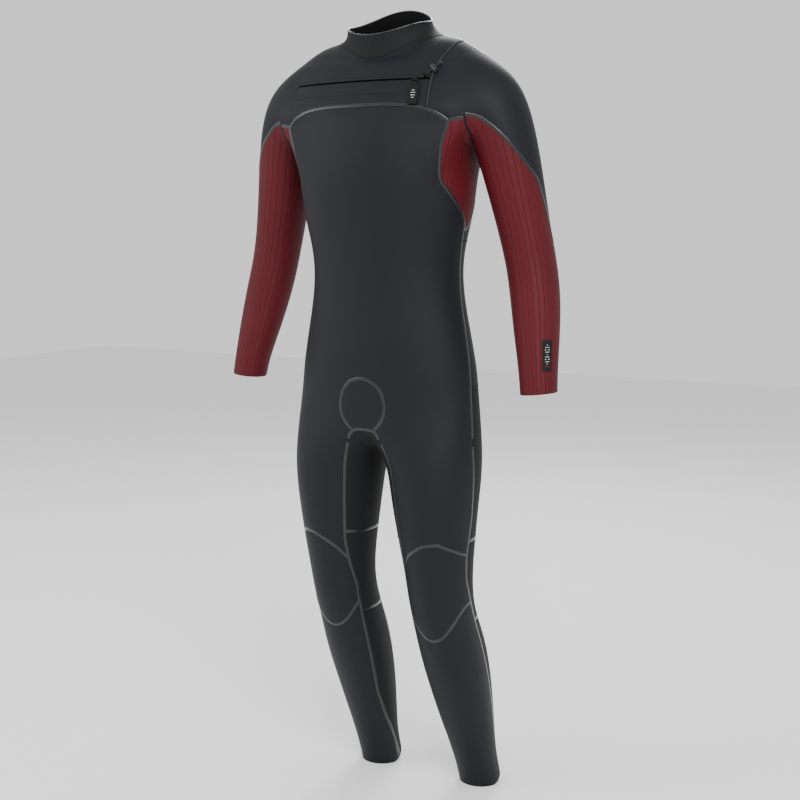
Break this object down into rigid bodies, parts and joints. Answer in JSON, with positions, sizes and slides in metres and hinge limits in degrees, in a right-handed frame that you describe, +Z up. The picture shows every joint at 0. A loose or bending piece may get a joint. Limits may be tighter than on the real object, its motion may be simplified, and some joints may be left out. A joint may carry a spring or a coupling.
{
  "type": "full wetsuit",
  "caption": "Full-length neoprene wetsuit with a high collar, chest zip under a flap, ribbed sleeves, knee pads and a neck drawcord.",
  "frame": {"origin": "middle of the neck seam, where the collar joins the body", "axes": "+Z up along the standing wearer, +X to the wearer's left, -Y to the chest side"},
  "size_m": [0.672, 0.3433, 1.4816],
  "materials": {
    "charcoal_neoprene": "matte knit face",
    "dark_neoprene": "matte knit face",
    "maroon_neoprene": "ribbed knit face",
    "zip_tape": "woven",
    "zip_plastic": "moulded",
    "slider_plastic": "moulded",
    "pull_tab_rubber": "moulded",
    "cord_fabric": "braided",
    "lock_plastic": "moulded",
    "label_rubber": "moulded"
  },
  "bodies": {
    "suit": {"neck_yoke": "charcoal_neoprene", "zip_flap": "charcoal_neoprene", "left_shoulder_panel": "charcoal_neoprene", "front_body_panel": "charcoal_neoprene", "crotch_gusset": "charcoal_neoprene", "upper_back_panel": "charcoal_neoprene", "lower_back_panel": "charcoal_neoprene", "left_knee_pad": "charcoal_neoprene", "right_knee_pad": "charcoal_neoprene", "left_arm_cap": "charcoal_neoprene", "right_arm_cap": "charcoal_neoprene", "collar": "dark_neoprene", "zip_dam": "dark_neoprene", "left_inner_thigh_panel": "dark_neoprene", "right_inner_thigh_panel": "dark_neoprene", "left_thigh_back_panel": "dark_neoprene", "right_thigh_back_panel": "dark_neoprene", "left_knee_back_panel": "dark_neoprene", "right_knee_back_panel": "dark_neoprene", "left_side_panel": "maroon_neoprene", "right_side_panel": "maroon_neoprene", "left_upper_sleeve": "maroon_neoprene", "right_upper_sleeve": "maroon_neoprene", "left_elbow_sleeve": "maroon_neoprene", "right_elbow_sleeve": "maroon_neoprene", "zip_tape_upper": "zip_tape", "zip_tape_lower": "zip_tape", "cord_loop": "zip_tape", "zip_teeth_upper": "zip_plastic", "zip_teeth_lower": "zip_plastic", "zip_stop_left": "zip_plastic", "zip_stop_right": "zip_plastic", "drawcord": "cord_fabric", "cord_knot": "cord_fabric", "cord_end_bead": "lock_plastic"},
    "left_forearm": {"left_forearm_sleeve": "maroon_neoprene", "sleeve_label": "label_rubber"},
    "right_forearm": {"right_forearm_sleeve": "maroon_neoprene"},
    "left_shin": {"left_shin_panel": "charcoal_neoprene", "left_calf_panel": "dark_neoprene"},
    "right_shin": {"right_shin_panel": "charcoal_neoprene", "right_calf_panel": "dark_neoprene"},
    "slider": {"zip_slider": "slider_plastic"},
    "puller": {"puller_link": "slider_plastic", "pull_tab": "pull_tab_rubber"},
    "cord_lock": {"cord_lock_body": "lock_plastic"},
    "lock_button": {"cord_lock_button": "lock_plastic"}
  },
  "joints": [
    {"name": "left_elbow", "type": "hinge", "parent": "suit", "child": "left_forearm", "pos_m": [0.275, 0.002, -0.415], "axis": [-0.9877, 0, -0.1564], "range_deg": [0, 80], "stiffness_Nm_per_rad": 1, "deforming": ["left_elbow_sleeve"]},
    {"name": "left_knee", "type": "hinge", "parent": "suit", "child": "left_shin", "pos_m": [0.105, 0.014, -0.982], "axis": [1, 0, 0], "range_deg": [0, 65], "stiffness_Nm_per_rad": 3, "deforming": ["left_knee_pad", "left_knee_back_panel"]},
    {"name": "right_elbow", "type": "hinge", "parent": "suit", "child": "right_forearm", "pos_m": [-0.275, 0.002, -0.415], "axis": [-0.9877, 0, 0.1564], "range_deg": [0, 80], "stiffness_Nm_per_rad": 1, "deforming": ["right_elbow_sleeve"]},
    {"name": "right_knee", "type": "hinge", "parent": "suit", "child": "right_shin", "pos_m": [-0.105, 0.014, -0.982], "axis": [1, 0, 0], "range_deg": [0, 65], "stiffness_Nm_per_rad": 3, "deforming": ["right_knee_pad", "right_knee_back_panel"]},
    {"name": "zip_travel", "type": "hinge", "parent": "suit", "child": "slider", "pos_m": [0, 0.351, -0.069], "axis": [0, 0, 1], "range_deg": [-30, 0]},
    {"name": "puller_swing", "type": "hinge", "parent": "slider", "child": "puller", "pos_m": [0.09791, -0.09064, -0.06791], "axis": [-0.9763, -0.2164, 0], "range_deg": [0, 150]},
    {"name": "lock_slide", "type": "slide", "parent": "suit", "child": "cord_lock", "axis": [0.6612, 0.4556, 0.596], "range_m": [-0.012, 0.0075]},
    {"name": "button_press", "type": "slide", "parent": "cord_lock", "child": "lock_button", "axis": [0.7144, -0.1398, -0.6856], "range_m": [0, 0.0022], "stiffness_N_per_m": 200, "springref_m": -0.001}
  ]
}
